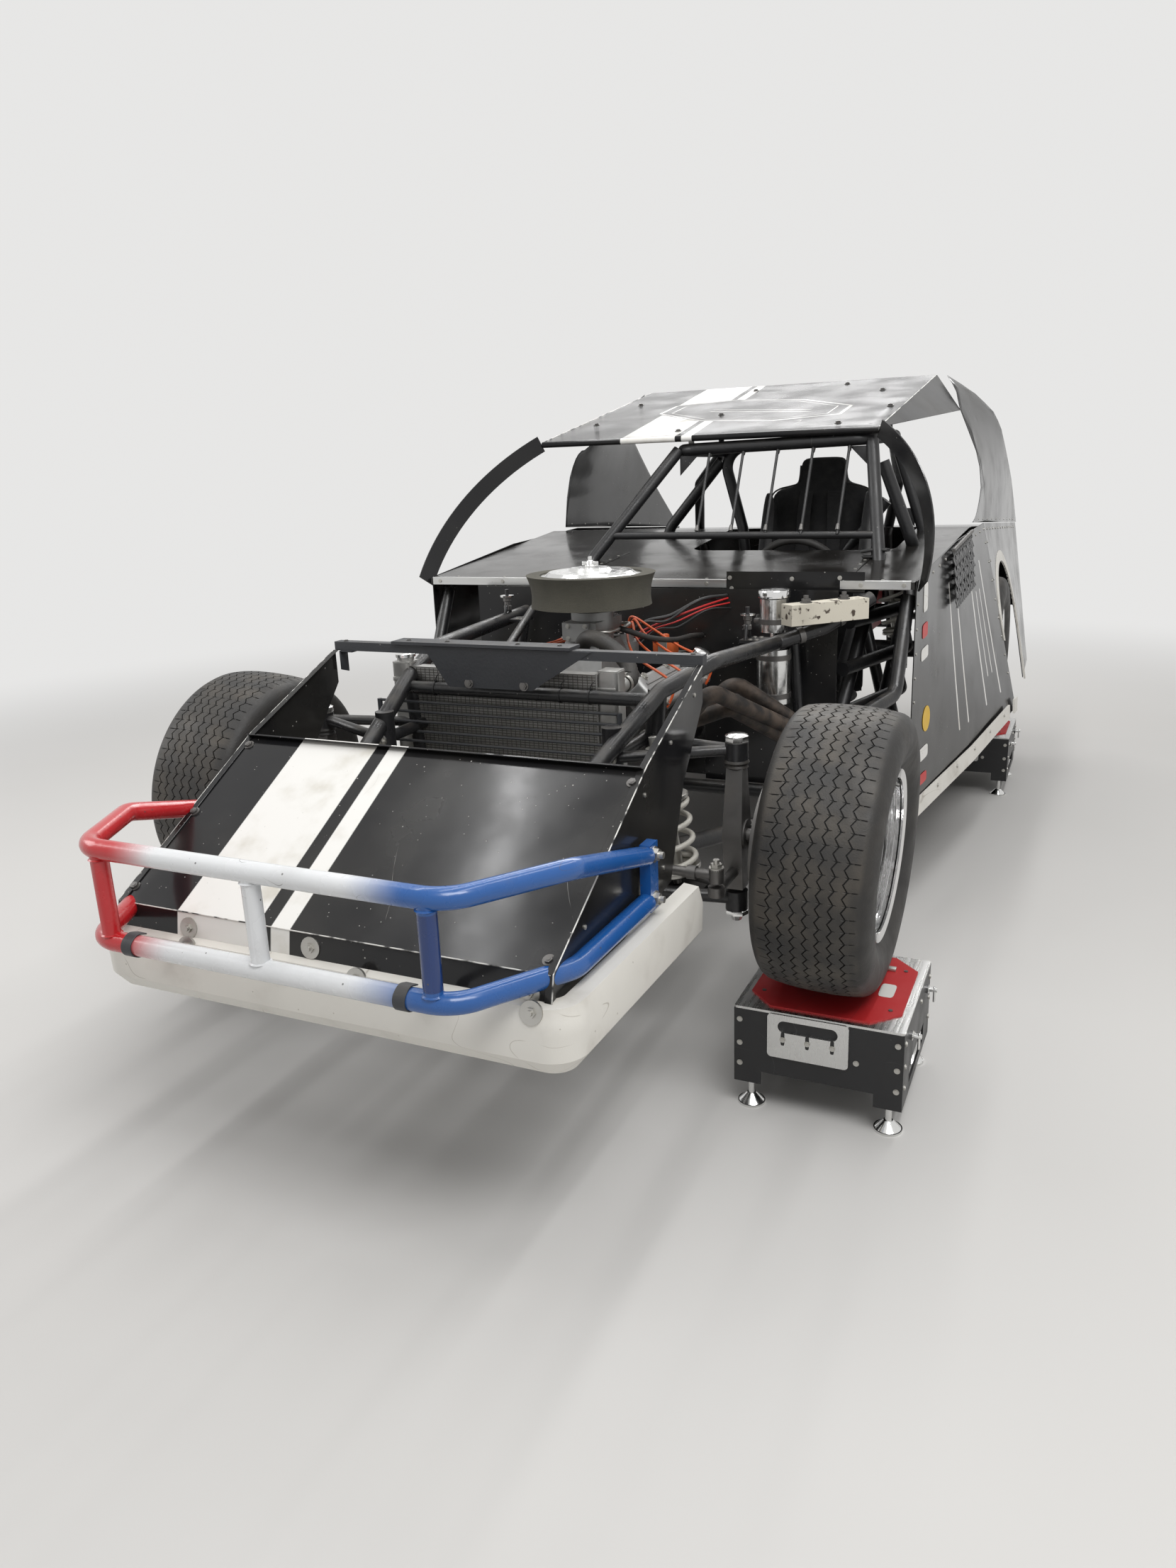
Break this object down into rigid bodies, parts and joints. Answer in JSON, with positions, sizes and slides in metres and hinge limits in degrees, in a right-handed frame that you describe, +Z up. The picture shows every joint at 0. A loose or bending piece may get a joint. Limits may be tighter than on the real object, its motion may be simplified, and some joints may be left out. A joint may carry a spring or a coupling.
{
  "type": "dirt-track stock car on scale stands",
  "caption": "Open-wheel dirt-track stock car with its hood off, showing engine, frame and front suspension, parked with each wheel on a scale stand.",
  "frame": {"origin": "on the floor under the middle of the whole object's length and width", "axes": "+Z up, -Y the way the car drives, +X its left side"},
  "size_m": [2.194, 4.882, 1.8175],
  "materials": {
    "black_paint": "gloss",
    "bumper_paint": "gloss, red to white to blue",
    "body_sheet": "gloss black sheet metal, scratched",
    "white_plastic": "scuffed white plastic",
    "radiator_metal": "brushed",
    "hose_rubber": "ribbed",
    "engine_iron": "painted",
    "cast_metal": "cast",
    "filter_foam": "open foam",
    "polished_metal": "polished",
    "header_steel": "heat-browned steel",
    "seat_cloth": "woven",
    "cell_plastic": "matte",
    "chipped_white": "chipped",
    "shock_body": "satin",
    "stand_black": "powder coat",
    "stand_red": "grip tape",
    "tyre": "worn",
    "wheel_chrome": "polished",
    "hub_iron": "machined",
    "wheel_rim_black": "grip"
  },
  "bodies": {
    "root": {"air_filter": "filter_foam", "ballast_block": "chipped_white", "bay_tubes": "black_paint", "belt_drive": "cast_metal", "canisters": "polished_metal", "dash": "black_paint", "deck": "body_sheet", "doors": "body_sheet", "driveline": "black_paint", "engine_block": "engine_iron", "filter_lid": "polished_metal", "firewall": "body_sheet", "front_bumper": "bumper_paint", "fuel_cell": "cell_plastic", "headers": "header_steel", "hood_crossbar": "black_paint", "intake": "cast_metal", "main_frame": "black_paint", "nose_lip": "white_plastic", "nose_panel": "body_sheet", "quarters": "body_sheet", "radiator": "radiator_metal", "radiator_hose": "hose_rubber", "radiator_screen": "radiator_metal", "rear_axle": "black_paint", "rear_bumper": "black_paint", "roll_cage": "black_paint", "roof": "body_sheet", "roof_posts": "body_sheet", "sails": "body_sheet", "seat": "seat_cloth", "shocks": "shock_body", "skirts": "white_plastic", "springs": "polished_metal", "stand_boxes": "stand_black", "stand_feet": "polished_metal", "stand_pads": "stand_red", "stand_tops": "radiator_metal", "suspension_arms": "black_paint", "tail_panel": "body_sheet", "valve_covers": "cast_metal", "window_net": "seat_cloth"},
    "knuckle_left": {"knuckle_left": "black_paint"},
    "knuckle_right": {"knuckle_right": "black_paint"},
    "steering_link": {"steering_link": "black_paint"},
    "steering_wheel": {"steering_wheel": "wheel_rim_black"},
    "front_left_wheel": {"tyre_front_left": "tyre", "wheel_front_left": "wheel_chrome", "hub_front_left": "hub_iron"},
    "front_right_wheel": {"tyre_front_right": "tyre", "wheel_front_right": "wheel_chrome", "hub_front_right": "hub_iron"},
    "rear_left_wheel": {"tyre_rear_left": "tyre", "wheel_rear_left": "wheel_chrome", "hub_rear_left": "hub_iron"},
    "rear_right_wheel": {"tyre_rear_right": "tyre", "wheel_rear_right": "wheel_chrome", "hub_rear_right": "hub_iron"}
  },
  "joints": [
    {"name": "front_left_steer", "type": "hinge", "parent": "root", "child": "knuckle_left", "pos_m": [0.612, -1.4, 0.62138], "axis": [0, 0, 1], "range_deg": [-22, 22]},
    {"name": "front_right_steer", "type": "hinge", "parent": "root", "child": "knuckle_right", "pos_m": [-0.612, -1.4, 0.62282], "axis": [0, 0, 1], "range_deg": [-22, 22]},
    {"name": "steering_link_slide", "type": "slide", "parent": "root", "child": "steering_link", "axis": [1, 0, 0], "range_m": [-0.0616, 0.0616]},
    {"name": "steering_wheel_turn", "type": "hinge", "parent": "root", "child": "steering_wheel", "pos_m": [0.33, 0.285, 1.058], "axis": [0, 0.9272, 0.3746], "range_deg": [-176.5, 176.5]},
    {"name": "front_left_spin", "type": "hinge", "parent": "knuckle_left", "child": "front_left_wheel", "pos_m": [0.865, -1.4, 0.62138], "axis": [0.999, 0, -0.0436], "continuous": true},
    {"name": "front_right_spin", "type": "hinge", "parent": "knuckle_right", "child": "front_right_wheel", "pos_m": [-0.865, -1.4, 0.62282], "axis": [0.9969, 0, -0.0785], "continuous": true},
    {"name": "rear_left_spin", "type": "hinge", "parent": "root", "child": "rear_left_wheel", "pos_m": [0.86, 1.39, 0.621], "axis": [1, 0, 0], "continuous": true},
    {"name": "rear_right_spin", "type": "hinge", "parent": "root", "child": "rear_right_wheel", "pos_m": [-0.86, 1.39, 0.621], "axis": [1, 0, 0], "continuous": true}
  ],
  "couplings": [
    {"joint": "front_right_steer", "follows": "front_left_steer", "ratio": 1},
    {"joint": "steering_link_slide", "follows": "front_left_steer", "m_per_rad": 0.16},
    {"joint": "steering_wheel_turn", "follows": "front_left_steer", "ratio": 8},
    {"joint": "rear_right_spin", "follows": "rear_left_spin", "ratio": 1}
  ]
}
